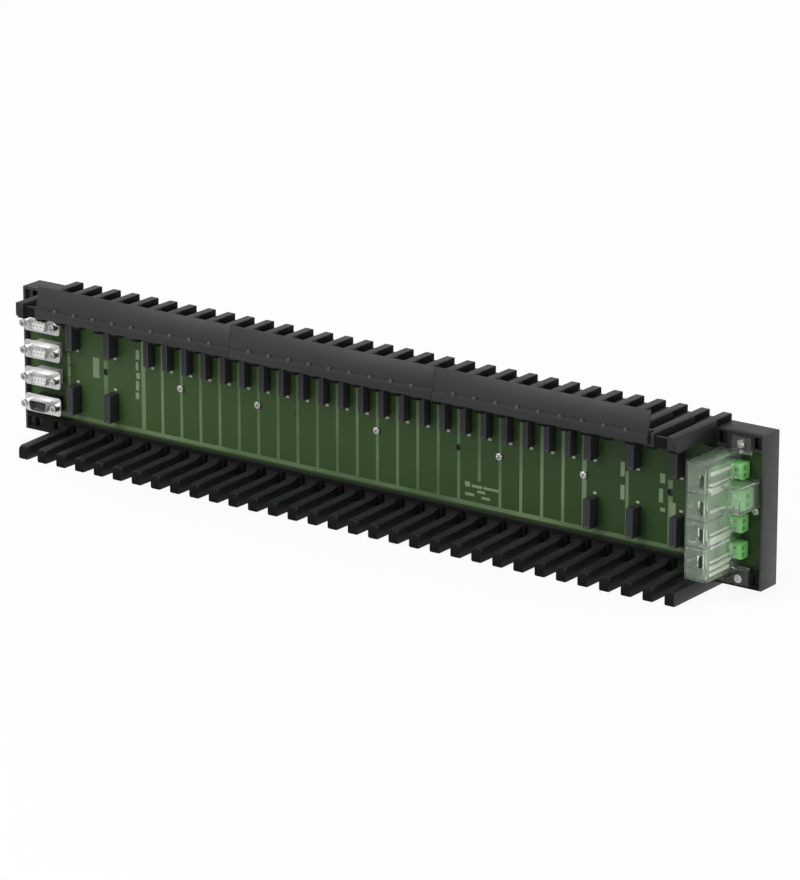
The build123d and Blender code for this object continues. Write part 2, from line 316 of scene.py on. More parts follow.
def blended(tree, mask, low, high):
    mix = tree.nodes.new("ShaderNodeMix")
    mix.data_type = "RGBA"
    mix.inputs["A"].default_value = (*low, 1)
    mix.inputs["B"].default_value = (*high, 1)
    tree.links.new(mask, mix.inputs["Factor"])
    return mix.outputs["Result"]


def bumped(tree, height, strength, depth):
    bump = addNode(tree, "ShaderNodeBump", Strength=strength, Distance=depth * mm)
    tree.links.new(height, bump.inputs["Height"])
    return bump.outputs["Normal"]


moulding = {"driftScale": 14, "glossScale": 60, "grainDetail": 2, "grainBreakup": 0.6, "grainDepth": 0.05}


def mouldedPlastic(name, look):
    # a fine spark-eroded texture, a slow drift of colour, and a gloss that comes and goes
    material, tree, surface = newMaterial(name)
    drift = clouds(tree, moulding["driftScale"], 2)
    gloss = clouds(tree, moulding["glossScale"], levels=look["roughness"])
    grain = clouds(tree, look["grain"], moulding["grainDetail"], breakup=moulding["grainBreakup"])
    tree.links.new(blended(tree, drift["Mask"], look["colour"], look["second"]), surface.inputs["Base Color"])
    tree.links.new(gloss["Mask"], surface.inputs["Roughness"])
    tree.links.new(bumped(tree, grain["Height"], look["bump"], moulding["grainDepth"]),
                   surface.inputs["Normal"])
    surface.inputs["IOR"].default_value = look["ior"]
    return material


plating = {"driftScale": 90, "scratchScale": 300, "scratchDetail": 2, "scratchBreakup": 0.6,
           "stretch": (0.15, 1, 1), "bump": 0.12, "depth": 0.02}


def platedMetal(name, look):
    # fine scratches along X, in which the gloss changes too
    material, tree, surface = newMaterial(name)
    drift = clouds(tree, plating["driftScale"])
    scratch = clouds(tree, plating["scratchScale"], plating["scratchDetail"], look["roughness"],
                     plating["scratchBreakup"], plating["stretch"])
    tree.links.new(blended(tree, drift["Mask"], look["colour"], look["second"]), surface.inputs["Base Color"])
    tree.links.new(scratch["Mask"], surface.inputs["Roughness"])
    tree.links.new(bumped(tree, scratch["Height"], plating["bump"], plating["depth"]),
                   surface.inputs["Normal"])
    surface.inputs["Metallic"].default_value = 1.0
    return material


glazing = {"glossScale": 120, "waveScale": 60, "bump": 0.1, "depth": 0.1}


def clearPlastic(name, look):
    # a slightly wavy wall whose polish comes and goes
    material, tree, surface = newMaterial(name)
    surface.inputs["Base Color"].default_value = (*look["colour"], 1)
    surface.inputs["Transmission Weight"].default_value = look["transmission"]
    surface.inputs["IOR"].default_value = look["ior"]
    gloss = clouds(tree, glazing["glossScale"], levels=look["roughness"])
    wave = clouds(tree, glazing["waveScale"], 2)
    tree.links.new(gloss["Mask"], surface.inputs["Roughness"])
    tree.links.new(bumped(tree, wave["Height"], glazing["bump"], glazing["depth"]), surface.inputs["Normal"])
    return material


def lacqueredBoard(name, look):
    # glass cloth under green lacquer, painted lighter towards the ports and darker towards the supplies as a
    # painted falloff of the light
    material, tree, surface = newMaterial(name)
    spots = tree.nodes.new("ShaderNodeTexCoord").outputs["Object"]
    axes = tree.nodes.new("ShaderNodeSeparateXYZ")
    falloff = addNode(tree, "ShaderNodeMapRange", From_Min=look["falloffEnds"][0], From_Max=look["falloffEnds"][1])
    weave = addNode(tree, "ShaderNodeTexWave", Scale=look["weave"], Distortion=look["crookedness"])
    gloss = clouds(tree, look["glossScale"], levels=look["roughness"])
    grain = clouds(tree, look["grain"], 2)
    cloth = tree.nodes.new("ShaderNodeMix")
    cloth.data_type = "RGBA"
    cloth.blend_type = "MULTIPLY"
    cloth.inputs["Factor"].default_value = look["cloth"]
    tree.links.new(spots, axes.inputs["Vector"])
    tree.links.new(axes.outputs["X"], falloff.inputs["Value"])
    tree.links.new(spots, weave.inputs["Vector"])
    tree.links.new(blended(tree, falloff.outputs["Result"], look["left"], look["right"]), cloth.inputs["A"])
    tree.links.new(weave.outputs["Color"], cloth.inputs["B"])
    tree.links.new(cloth.outputs["Result"], surface.inputs["Base Color"])
    tree.links.new(gloss["Mask"], surface.inputs["Roughness"])
    tree.links.new(bumped(tree, grain["Height"], look["bump"], look["depth"]), surface.inputs["Normal"])
    surface.inputs["IOR"].default_value = look["ior"]
    return material


trayPlastic = mouldedPlastic("trayPlastic", {
    "colour": (0.034, 0.034, 0.035), "second": (0.04, 0.04, 0.041), "grain": 1500, "bump": 0.25,
    "roughness": (0.38, 0.5), "ior": 1.5})
combPlastic = mouldedPlastic("combPlastic", {
    "colour": (0.015, 0.015, 0.016), "second": (0.019, 0.019, 0.02), "grain": 1500, "bump": 0.25,
    "roughness": (0.36, 0.45), "ior": 1.48})
# painted shade: a near-black, rough finish that stands in for the shade on comb faces
paintedShadePlastic = mouldedPlastic("paintedShadePlastic", {
    "colour": (0.004, 0.004, 0.004), "second": (0.006, 0.006, 0.006), "grain": 1500, "bump": 0.3,
    "roughness": (0.7, 0.8), "ior": 1.25})
# painted highlight: lighter than the carriers, standing in for the light on the pads' domes
padHighlightPlastic = mouldedPlastic("padHighlightPlastic", {
    "colour": (0.045, 0.045, 0.046), "second": (0.055, 0.055, 0.056), "grain": 1800, "bump": 0.1,
    "roughness": (0.32, 0.4), "ior": 1.5})
carrierPlastic = mouldedPlastic("carrierPlastic", {
    "colour": (0.02, 0.02, 0.021), "second": (0.025, 0.025, 0.026), "grain": 1800, "bump": 0.15,
    "roughness": (0.4, 0.48), "ior": 1.45})
socketPlastic = mouldedPlastic("socketPlastic", {
    "colour": (0.032, 0.032, 0.037), "second": (0.038, 0.038, 0.043), "grain": 2200, "bump": 0.2,
    "roughness": (0.4, 0.5), "ior": 1.45})
# lit and shaded copies of one insulator plastic: the light grey is a painted reflection, the near-black is
# painted shade in a port's mouth
insulatorLitCopy = mouldedPlastic("insulatorLitCopy", {
    "colour": (0.62, 0.61, 0.6), "second": (0.7, 0.69, 0.68), "grain": 2500, "bump": 0.1,
    "roughness": (0.35, 0.45), "ior": 1.48})
insulatorShadedCopy = mouldedPlastic("insulatorShadedCopy", {
    "colour": (0.02, 0.02, 0.023), "second": (0.026, 0.026, 0.03), "grain": 2500, "bump": 0.1,
    "roughness": (0.35, 0.45), "ior": 1.48})
headerGreen = mouldedPlastic("headerGreen", {
    "colour": (0.06, 0.26, 0.07), "second": (0.07, 0.3, 0.08), "grain": 2000, "bump": 0.15,
    "roughness": (0.35, 0.45), "ior": 1.48})
plugGreen = mouldedPlastic("plugGreen", {
    "colour": (0.24, 0.64, 0.21), "second": (0.28, 0.7, 0.24), "grain": 2000, "bump": 0.15,
    "roughness": (0.35, 0.45), "ior": 1.48})
# painted light: the lighter left end and darker right end stand in for the light falling off along the board
solderMask = lacqueredBoard("solderMask", {
    "left": (0.046, 0.092, 0.027), "right": (0.026, 0.06, 0.016), "falloffEnds": (-0.29, 0.29),
    "weave": 520, "crookedness": 1.5, "cloth": 0.12, "grain": 700, "bump": 0.08, "depth": 0.03,
    "glossScale": 80, "roughness": (0.34, 0.46), "ior": 1.36})
trackGreen = mouldedPlastic("trackGreen", {
    "colour": (0.06, 0.11, 0.045), "second": (0.15, 0.22, 0.11), "grain": 900, "bump": 0.1,
    "roughness": (0.3, 0.42), "ior": 1.48})
paleInk = mouldedPlastic("paleInk", {
    "colour": (0.13, 0.2, 0.1), "second": (0.21, 0.28, 0.17), "grain": 1200, "bump": 0.15,
    "roughness": (0.4, 0.5), "ior": 1.45})
tinnedPad = mouldedPlastic("tinnedPad", {
    "colour": (0.33, 0.37, 0.28), "second": (0.4, 0.44, 0.34), "grain": 900, "bump": 0.2,
    "roughness": (0.3, 0.42), "ior": 1.5})
portPlate = platedMetal("portPlate", {
    "colour": (0.88, 0.88, 0.87), "second": (0.8, 0.8, 0.8), "roughness": (0.3, 0.5)})
screwSteel = platedMetal("screwSteel", {
    "colour": (0.8, 0.79, 0.77), "second": (0.7, 0.7, 0.69), "roughness": (0.2, 0.36)})
hoodClear = clearPlastic("hoodClear", {
    "colour": (0.92, 1.0, 0.9), "transmission": 0.94, "ior": 1.38, "roughness": (0.01, 0.08)})
sheetClear = clearPlastic("sheetClear", {
    "colour": (0.93, 1.0, 0.92), "transmission": 0.8, "ior": 1.2, "roughness": (0.1, 0.25)})
# painted reflection: a near-opaque white that stands in for the light streaks on the hood's ribs
ledgeGlintWhite = clearPlastic("ledgeGlintWhite", {
    "colour": (1.0, 1.0, 1.0), "transmission": 0.05, "ior": 1.4, "roughness": (0.15, 0.3)})
print("finishes done")

trayEdge = 0.4
tray = startCopy("tray", "base_tray")
soften(tray, trayEdge)
finished(tray, trayPlastic, ["base_tray"], merge=False)
print("tray done")

# Both combs have a base strip with windows, whose heights are from the tray's edge
window = {"width": 5.5, "topHead": 1.85, "topSill": 9.35, "bottomSill": 2.5, "bottomHead": 9.0, "edge": 0.3}


def windowedStrip(name, low, high, sill, head):
    # a window in the middle of every slot, two before them, one after them, and one at each end
    strip = startBox(name, low, high)
    half, front, back = window["width"] / 2, low[1] - overlap, high[1] + overlap
    middles = [slotLine(number + 0.5) for number in range(-2, slotCount + 1)]
    holes = [startBox("hole", (middle - half, front, sill), (middle + half, back, head))
             for middle in middles + [low[0] + half, high[0] - half]]
    cut(strip, joined("holes", holes))
    soften(strip, window["edge"])
    return strip


def profiled(piece, level, heights):
    # brings the points of a tongue that lie at one level to the height given for each depth
    for y in list(heights)[1:]:
        divide(piece, (0, y, 0), (0, 1, 0))
    for y, height in heights.items():
        pick(piece, "VERT", lambda spot, facing: abs(spot.y - y) < near and abs(spot.z - level) < near)
        shift(z=height - level)
    pick(piece, "VERT", everything)
    bpy.ops.mesh.dissolve_limited(angle_limit=math.radians(meshing["flat"]))


# The foot and the front are measured down from the fin's top
fin = {"width": 6.5, "foot": 18.3, "front": 11.1, "chin": 2.6, "bend": 24.0, "arch": 0.7, "steps": 7,
       "edge": 0.45, "edgeAngle": 40, "shadedUnder": 0.6}
rail = {"thick": 2.5, "low": 8.7, "drop": 1.6, "recess": 1.0, "edge": 0.4, "shadedBehind": 0.1}
railFront = combFront + rail["recess"]
railBack = railFront + rail["thick"]


def finPiece():
    # a high narrow tongue that is straight below at the front, and arches down to the strip
    half, foot, under = fin["width"] / 2, topHigh.z - fin["foot"], topHigh.z - fin["front"]
    piece = startBox("fin", (-half, combFront, foot), (half, stripFront + overlap, topHigh.z))
    # the rear end lies on the tray's top
    divide(piece, (0, 0, trayHigh.z), (0, 0, 1))
    pick(piece, "FACE", lambda spot, facing: facing.y > straight and spot.z > trayHigh.z)
    pull(trayHigh.y - stripFront - overlap)
    start, reach = combFront + fin["bend"], stripFront - combFront - fin["bend"]
    drop = under + fin["arch"] - foot
    radius = (reach ** 2 + drop ** 2) / (2 * drop)
    heights = {combFront: under + fin["chin"], combFront + fin["chin"]: under}
    for step in range(fin["steps"]):
        run = reach * step / fin["steps"]
        heights[start + run] = foot + drop - radius + math.sqrt(radius ** 2 - run ** 2)
    profiled(piece, foot, heights)
    divide(piece, (0, stripFront, 0), (0, 1, 0))  # where the painted shade on the flanks begins
    leave()
    soften(piece, fin["edge"], angle=fin["edgeAngle"])
    return piece


fins = spread(finPiece(), [(slotLine(number),) for number in range(slotCount + 1)])
topStrip = windowedStrip("topStrip", (topLow.x, stripFront, trayHigh.z - stripHeight),
                         (topHigh.x, boardFront, trayHigh.z),
                         trayHigh.z - window["topSill"], trayHigh.z - window["topHead"])
frontRail = startBox("frontRail", (slotLine(0), railFront, topHigh.z - rail["low"]),
                     (slotLine(slotCount), railBack, topHigh.z - rail["drop"]))
soften(frontRail, rail["edge"])
topComb = joined("topComb", [topStrip, frontRail] + fins)
finished(topComb, combPlastic, ["top_comb"])
# painted shade: the undersides, the rail's front and the flanks over the tray get a near-black, rough finish
# in place of their shade
paintShade(topComb, lambda spot, facing: facing.z < -fin["shadedUnder"]
     or (abs(facing.x) > straight and spot.y > stripFront)
     or (facing.y < -straight and abs(spot.y - railFront) < rail["shadedBehind"]))
print("top comb done")

finger = {"width": 7.0, "root": 12.9, "rootSteps": 4, "rootCurve": 2.4, "knee": 10.3, "kneeAt": 11.0,
          "nose": 9.2, "brow": 3.4, "browSteps": 5, "chin": 1.5, "chinSteps": 3,
          "edge": 0.5, "edgeAngle": 40, "shadedFacing": 0.7}


def fingerPiece():
    # a long tongue with a short curved root and a blunt round nose, and its tail under the tray
    half = finger["width"] / 2
    piece = startBox("finger", (-half, combFront, 0), (half, stripFront + overlap, finger["root"]))
    divide(piece, (0, 0, trayLow.z), (0, 0, 1))
    pick(piece, "FACE", lambda spot, facing: facing.y > straight and spot.z < trayLow.z)
    pull(trayHigh.y - stripFront - overlap)
    knee = stripFront - finger["kneeAt"]
    heights = {combFront: finger["nose"], knee: finger["knee"]}
    for step in range(1, finger["rootSteps"]):
        share = step / finger["rootSteps"]
        rise = (finger["root"] - finger["knee"]) * share ** finger["rootCurve"]
        heights[knee + finger["kneeAt"] * share] = finger["knee"] + rise
    profiled(piece, finger["root"], heights)
    for width, steps, low, high in ((finger["brow"], finger["browSteps"], near, finger["root"]),
                                    (finger["chin"], finger["chinSteps"], -near, near)):
        pick(piece, "EDGE", lambda spot, facing: abs(facing.x) > straight and spot.y < combFront + near
             and low < spot.z < high)
        roundOff(width, steps)
    leave()
    soften(piece, finger["edge"], angle=finger["edgeAngle"])
    return piece


fingers = spread(fingerPiece(), [(slotLine(number),) for number in range(slotCount + 1)])
bottomStrip = windowedStrip("bottomStrip", (bottomLow.x, stripFront, trayLow.z),
                            (bottomHigh.x, boardFront, trayLow.z + stripHeight),
                            trayLow.z + window["bottomSill"], trayLow.z + window["bottomHead"])
bottomComb = joined("bottomComb", [bottomStrip] + fingers)
finished(bottomComb, combPlastic, ["bottom_comb"])
# painted shade: the fingers' noses and the strip's front get the near-black, rough finish in place of their
# shade
paintShade(bottomComb, lambda spot, facing: facing.y < -finger["shadedFacing"])
print("bottom comb done")

carrier = {"thick": 1.5, "band": 6.4, "step": 1.0, "lean": 2.1, "tip": 0.4, "ledge": 1.2, "edge": 0.3}
clip = {"count": 10, "width": 6.0, "thick": 1.2, "drop": 7.2, "rise": 0.6, "round": 0.4, "roundSteps": 2}
thumbPad = {"radius": 1.7, "sides": 28, "rise": 0.2, "back": 1.0, "round": 1.1, "roundSteps": 4}
clipBack = railBack + clip["thick"]
for number in (1, 2, 3):
    low, high = nodeBox(f"label_carrier_{number}")
    face = combFront - carrier["thick"]
    bandTop = low.z + carrier["band"]
    ledgeTop = topHigh.z + carrier["ledge"]
    plate = startBox("labelCarrier", (low.x, face, low.z), (high.x, combFront, high.z))
    for height in (topHigh.z, ledgeTop, bandTop):
        divide(plate, (0, 0, height), (0, 0, 1))
    # the lower band stands forward, and the upper part leans back to a thin tip
    pick(plate, "FACE", lambda spot, facing: facing.y < -straight and spot.z < bandTop)
    pull(-carrier["step"])
    pick(plate, "VERT", lambda spot, facing: spot.z > high.z - near)
    shift(y=carrier["lean"])
    leant = face + carrier["lean"]
    pick(plate, "VERT", lambda spot, facing: spot.z > high.z - near and spot.y < leant + near)
    shift(y=carrier["tip"])
    # the ledge over the rail, and the clips behind it
    pick(plate, "FACE", lambda spot, facing: facing.y > straight and topHigh.z < spot.z < ledgeTop)
    pull(clipBack - combFront)
    leave()
    soften(plate, carrier["edge"])
    parts = [plate]
    for place in range(clip["count"]):
        x = low.x + (high.x - low.x) / 2 + (place - (clip["count"] - 1) / 2) * slotPitch
        foot = topHigh.z - clip["drop"]
        hook = startBox("clip", (x - clip["width"] / 2, railBack, foot),
                        (x + clip["width"] / 2, clipBack, topHigh.z + clip["rise"]))
        pick(hook, "EDGE", lambda spot, facing: abs(facing.x) > straight and spot.z < foot + near)
        roundOff(clip["round"], clip["roundSteps"])
        leave()
        parts.append(hook)
    # thumb pads on the slot lines between the carrier's ends, in a lighter plastic as a painted highlight
    pads = []
    padBack = combFront - thumbPad["back"]
    for line in range(2 + (number - 1) * clip["count"], 1 + number * clip["count"]):
        pad = startRound("pad", (slotLine(line), (low.y + padBack) / 2, bandTop + thumbPad["rise"]),
                         thumbPad["radius"], padBack - low.y, thumbPad["sides"])
        pick(pad, "EDGE", lambda spot, facing: spot.y < low.y + near)
        roundOff(thumbPad["round"], thumbPad["roundSteps"])
        leave()
        pads.append(pad)
    finished(joined(f"labelCarrier{number}", parts), carrierPlastic,
             [f"label_carrier_{number}"])
    finished(joined(f"thumbPads{number}", pads), padHighlightPlastic)
print("label carriers done")

socket = {"rim": 0.7, "lip": 0.25, "sink": 0.3, "edge": 0.25, "slot": 0.4, "slotDeep": 0.5, "slotEnd": 2.0}


def socketPiece(width, depth, height):
    # a moulded block with a sunk front and the contact slot in it
    body = startBox("socket", (-width / 2, -depth, -height / 2), (width / 2, 0, height / 2))
    pick(body, "FACE", facingFront)
    inset(socket["rim"])
    inset(socket["lip"], socket["sink"])
    leave()
    soften(body, socket["edge"])
    slotHalf, slotTop = socket["slot"] / 2, height / 2 - socket["slotEnd"]
    cut(body, startBox("slot", (-slotHalf, -depth - overlap, -slotTop),
                       (slotHalf, -depth + socket["slotDeep"], slotTop)))
    return body


socketNames = sorted(name for name in cadNodes if name.startswith("socket_"))
socketShapes = {}
for name in socketNames:
    low, high = nodeBox(name)
    size = tuple(round(value, 2) for value in high - low)
    if size not in socketShapes:
        socketShapes[size] = socketPiece(*size)
    middle = (low + high) / 2
    row, line = name.split("_")[1:]
    piece = copied(socketShapes[size], f"socket{row.title()}{line}", middle.x, high.y, middle.z)
    finished(piece, socketPlastic, [name])
for shape in socketShapes.values():
    bpy.data.objects.remove(shape)
print("sockets done")

board = startCopy("board", "circuit_board")
finished(board, solderMask, ["circuit_board"], merge=False)

# Copper tracks under the lacquer run down to a border along the board's lower edge
track = {"thick": 0.07, "into": 0.05, "width": 2.3, "longLines": range(4, 27), "longTop": 34.0,
         "shortLines": (0, 2, 28, 30), "shortTop": 8.0, "wideLines": (2, 4, 26, 30), "wide": 1.5,
         "holeLines": (2, 20, 30), "hole": 2.4, "markedLine": 21, "markedFoot": 34.5, "gap": 0.02}
border = {"level": -35.8, "height": 2.8, "start": 7.0, "end": 5.0}
solderPad = {"width": 2.4, "height": 1.5, "below": 2.2, "above": 1.9}
inkThick = 0.11


def boardBar(x, z, width, height, thick=track["thick"]):
    # a thin bar on the board, a little way into it
    return startBox("bar", (x - width / 2, boardFront - thick, z - height / 2),
                    (x + width / 2, boardFront + track["into"], z + height / 2))


borderStart, borderEnd = boardLow.x + border["start"], slotLine(slotCount) + border["end"]
tracks = [boardBar((borderStart + borderEnd) / 2, middleZ + border["level"], borderEnd - borderStart,
                   border["height"])]
for line in sorted([*track["longLines"], *track["shortLines"]]):
    upper = middleZ + (track["longTop"] if line in track["longLines"] else track["shortTop"])
    lower = middleZ + border["level"] + border["height"] / 2 + track["gap"]
    width = track["width"] * (track["wide"] if line in track["wideLines"] else 1)
    if line == track["markedLine"]:  # stops over the printed bars
        lower = track["markedFoot"]
    runs = [(lower, upper)]
    if line in track["holeLines"]:  # parts round a hole in the board
        runs = [(lower, middleZ - track["hole"]), (middleZ + track["hole"], upper)]
    for start, end in runs:
        tracks.append(boardBar(slotLine(line), (start + end) / 2, width, end - start))
finished(joined("boardTracks", tracks), trackGreen)

pads = []
for name in socketNames:
    low, high = nodeBox(name)
    level = low.z - solderPad["below"] if "upper" in name else high.z + solderPad["above"]
    pads.append(boardBar((low.x + high.x) / 2, level, solderPad["width"], solderPad["height"]))
finished(joined("boardPads", pads), tinnedPad)

# Plain bars of pale ink, each with its x, its height, and its two sizes
inkBars = {
    "besidePorts": ((-233.4, 56.0, 5.4, 14.0), (-256.6, 57.0, 2.0, 5.0), (-256.6, 49.5, 2.0, 6.0),
                    (-256.6, 43.0, 2.0, 3.6)),
    "byLine4": ((-197.9, 71.0, 3.0, 6.5), (-198.4, 63.0, 2.2, 5.5), (-197.6, 56.4, 3.2, 4.0),
                (-198.2, 49.5, 2.8, 6.5), (-198.4, 42.5, 3.0, 4.6)),
    "byLine28": ((187.4, 63.0, 3.0, 9.4), (187.5, 47.8, 3.0, 9.6)),
    "byLine30": ((217.0, 62.4, 3.6, 6.4), (216.0, 51.0, 3.0, 9.0), (217.4, 42.0, 3.6, 2.6),
                 (224.6, 42.0, 4.6, 12.0)),
    "underLine21": ((69.8, 31.2, 4.0, 3.4), (77.0, 30.6, 8.0, 1.9), (88.0, 30.6, 12.0, 1.7),
                    (80.5, 27.4, 6.0, 1.8), (71.5, 24.6, 7.0, 1.9), (84.0, 23.8, 6.6, 1.7))}
marks = [boardBar(*bar, inkThick) for bars in inkBars.values() for bar in bars]
finished(joined("inkMarks", marks), paleInk)
print("board done")

port = {"flange": 0.8, "flangeEdge": 0.25, "corner": 2.4, "cornerSteps": 6, "width": 16.4, "height": 7.9,
        "sheet": 0.5, "slope": 10, "skirt": 0.6, "skirtHigh": 0.7, "skirtEdge": 0.5, "into": 0.2}
# the rows have each a number of holes and its height over the port's middle
insulator = {"shadedPort": 4, "edge": 0.4, "gap": 0.05, "back": 0.6, "into": 0.5, "hole": 0.55, "holeLong": 6,
             "pitch": 2.77, "rows": ((5, 1.42), (4, -1.42))}


def deeShape(name, middle, grow, front, back, corner):
    # a block of the port's section, made larger or smaller all round, with its sides drawn in below
    x, z = middle
    width, height = port["width"] + 2 * grow, port["height"] + 2 * grow
    block = startBox(name, (x - width / 2, front, z - height / 2), (x + width / 2, back, z + height / 2))
    for side in (-1, 1):
        pick(block, "VERT", lambda spot, facing: spot.z < z and (spot.x - x) * side > 0)
        shift(x=-side * height * math.tan(math.radians(port["slope"])))
    pick(block, "EDGE", alongDepth)
    roundOff(corner, port["cornerSteps"])
    leave()
    return block


for number in (1, 2, 3, 4):
    low, high = nodeBox(f"port_shell_{number}")
    middle = ((low.x + high.x) / 2, (low.z + high.z) / 2)
    flangeFront = high.y - port["flange"]
    flange = startBox("flange", (low.x, flangeFront, low.z), (high.x, high.y, high.z))
    pick(flange, "EDGE", alongDepth)
    roundOff(port["corner"], port["cornerSteps"])
    leave()
    soften(flange, port["flangeEdge"], 3)
    innerCorner = port["corner"] - port["sheet"]
    rim = deeShape("rim", middle, 0, low.y, flangeFront + port["into"], port["corner"])
    bore = deeShape("bore", middle, -port["sheet"], low.y - overlap, high.y + overlap, innerCorner)
    skirt = deeShape("skirt", middle, port["skirt"], flangeFront - port["skirtHigh"],
                     flangeFront + port["into"], port["corner"] + port["skirt"])
    soften(skirt, port["skirtEdge"], 3)
    cut(rim, bore, keep=True)
    cut(flange, bore, keep=True)
    cut(skirt, bore)
    finished(joined(f"portShell{number}", [flange, rim, skirt]), portPlate,
             [f"port_shell_{number}"])

    # plastic body behind the flange, and a nose with the contact holes inside the rim
    bodyLow, bodyHigh = nodeBox(f"port_insulator_{number}")
    body = startBox("body", (bodyLow.x, high.y, bodyLow.z), (bodyHigh.x, bodyHigh.y, bodyHigh.z))
    soften(body, insulator["edge"])
    nose = deeShape("nose", middle, -port["sheet"] - insulator["gap"], bodyLow.y + insulator["back"],
                    high.y + insulator["into"], innerCorner)
    holes = []
    for count, rise in insulator["rows"]:
        for place in range(count):
            x = middle[0] + (place - (count - 1) / 2) * insulator["pitch"]
            holes.append(startRound("hole", (x, bodyLow.y, middle[1] + rise), insulator["hole"],
                                    insulator["holeLong"], 12))
    cut(nose, joined("holes", holes))
    # one port gets the painted-shade copy, the others the painted-reflection copy
    material, slot = insulatorLitCopy, "insulator_light"
    if number == insulator["shadedPort"]:
        material, slot = insulatorShadedCopy, "insulator_dark"
    finished(joined(f"portInsulator{number}", [body, nose]), material, [f"port_insulator_{number}"])
print("ports done")

jack = {"flats": 4.75, "rim": 0.35, "bore": 1.3, "boreMiddle": -3.0, "boreLong": 7.0, "spacing": 24.99,
        "edge": 0.3}
jackLow, jackHigh = nodeBox("jack_screws")
jackLong = jackHigh.y - jackLow.y
oneJack = startRound("jack", (0, 0, 0), jack["flats"] / math.sqrt(3), jackLong, 6)
pick(oneJack, "FACE", facingFront)
inset(jack["rim"])
inset(jack["flats"] / 2 - jack["rim"] - jack["bore"])
leave()
soften(oneJack, jack["edge"])
cut(oneJack, startRound("bore", (0, jack["boreMiddle"], 0), jack["bore"], jack["boreLong"], 24))
jackSpots = []
for number in (1, 2, 3, 4):
    low, high = nodeBox(f"port_shell_{number}")
    middle = (low + high) / 2
    for side in (-1, 1):
        jackSpots.append((middle.x + side * jack["spacing"] / 2, (jackLow.y + jackHigh.y) / 2, middle.z))
finished(joined("jackScrews", spread(oneJack, jackSpots)), screwSteel, ["jack_screws"])

screw = {"dome": 0.62, "domeSteps": 5, "arm": 0.62, "armHalf": 0.42, "deep": 1.0}
boardScrew = {"radius": 2.4, "high": 1.6, "lines": (6, 10, 16, 22, 26), "fromEnd": 6.7}


def domedScrew(name, radius, high, slotOnly=False):
    # a domed head with its cross or slot, standing on y = 0 and facing the front
    head = startRound(name, (0, -high / 2, 0), radius, high)
    pick(head, "FACE", facingFront)
    inset(0)  # the rim is doubled, which gives the head a flat top
    leave()
    pick(head, "EDGE", lambda spot, facing: spot.y < -high + near)
    roundOff(high * screw["dome"], screw["domeSteps"])
    leave()
    arm, half, bottom = radius * screw["arm"], screw["armHalf"], -high + screw["deep"]
    cut(head, startBox("arm", (-arm, -high - overlap, -half), (arm, bottom, half)))
    if not slotOnly:
        cut(head, startBox("arm", (-half, -high - overlap, -arm), (half, bottom, arm)))
    return head


oneScrew = domedScrew("boardScrew", boardScrew["radius"], boardScrew["high"])
screwXs = [slotLine(line) for line in boardScrew["lines"]] + [trayHigh.x - boardScrew["fromEnd"]]
screws = spread(oneScrew, [(x, boardFront, middleZ) for x in screwXs])
finished(joined("boardScrews", screws), screwSteel)
print("screws done")

terminal = {"back": 6.0, "height": 10.4, "brow": 2.4, "browSteps": 5, "edge": 0.4, "headerEdge": 0.35,
            "pole": 2.3}
well = {"deep": 3.0, "front": 2.6, "back": 6.2, "half": 1.5}
clamp = {"radius": 1.3, "high": 0.8, "fromSide": 3.4, "sunk": 0.1}
plugFront = nodeBox("terminal_plug_1")[0].y + terminal["back"]
clampSpots = []
for number in (1, 2, 3, 4):
    header = startCopy(f"terminalHeader{number}", f"terminal_header_{number}")
    soften(header, terminal["headerEdge"])
    finished(header, headerGreen, [f"terminal_header_{number}"], merge=False)

    # the plug has a round brow, and its wire holes are in the side towards the tray's end
    low, high = nodeBox(f"terminal_plug_{number}")
    level, half = (low.z + high.z) / 2, terminal["height"] / 2
    plug = startBox(f"terminalPlug{number}", (low.x, plugFront, level - half), (high.x, high.y, level + half))
    pick(plug, "EDGE", lambda spot, facing: abs(facing.x) > straight and spot.y < plugFront + near)
    roundOff(terminal["brow"], terminal["browSteps"])
    leave()
    soften(plug, terminal["edge"])
    wells = []
    for side in (-1, 1):
        z = level + side * terminal["pole"]
        wells.append(startBox("well", (high.x - well["deep"], plugFront + well["front"], z - well["half"]),
                              (high.x + overlap, plugFront + well["back"], z + well["half"])))
        clampSpots.append((high.x - clamp["fromSide"], plugFront + clamp["sunk"], z))
    cut(plug, joined("wells", wells))
    finished(plug, plugGreen, [f"terminal_plug_{number}"])

# slotted clamp screws in the plugs' fronts
oneClamp = domedScrew("clampScrew", clamp["radius"], clamp["high"], slotOnly=True)
finished(joined("clampScrews", spread(oneClamp, clampSpots)), screwSteel)

hoodLow = nodeBox("terminal_hood")[0]
hoodLook = {"wide": 16.2, "wall": 1.6, "edge": 0.3, "panelSkin": 0.02, "panelGap": 0.4, "panelFront": 1.2}
# each ledge has its level from the board's middle line, and its height
ledge = {"rows": ((29.4, 2.4), (22.3, 1.6), (18.2, 4.0), (5.5, 1.4), (-8.9, 1.4), (-13.3, 4.2), (-17.5, 1.6),
                  (-26.5, 1.6), (-30.6, 2.8), (-34.6, 2.2)),
         "front": 7.0, "deep": 1.6, "gap": 0.05, "edge": 0.4}
sheet = {"low": -36.0, "high": 33.0, "front": 4.0, "inner": 2.2, "outer": 1.8, "edge": 0.1}
backGap = 0.8  # from the ledges and the sheet to the plugs
tabScrew = {"radius": 2.7, "high": 1.4, "x": 18.7, "levels": (43.2, -43.6)}
side = hoodLow.x + hoodLook["wide"]  # the outside of the side wall
wallInside = side - hoodLook["wall"]
hood = startCopy("hood", "terminal_hood")
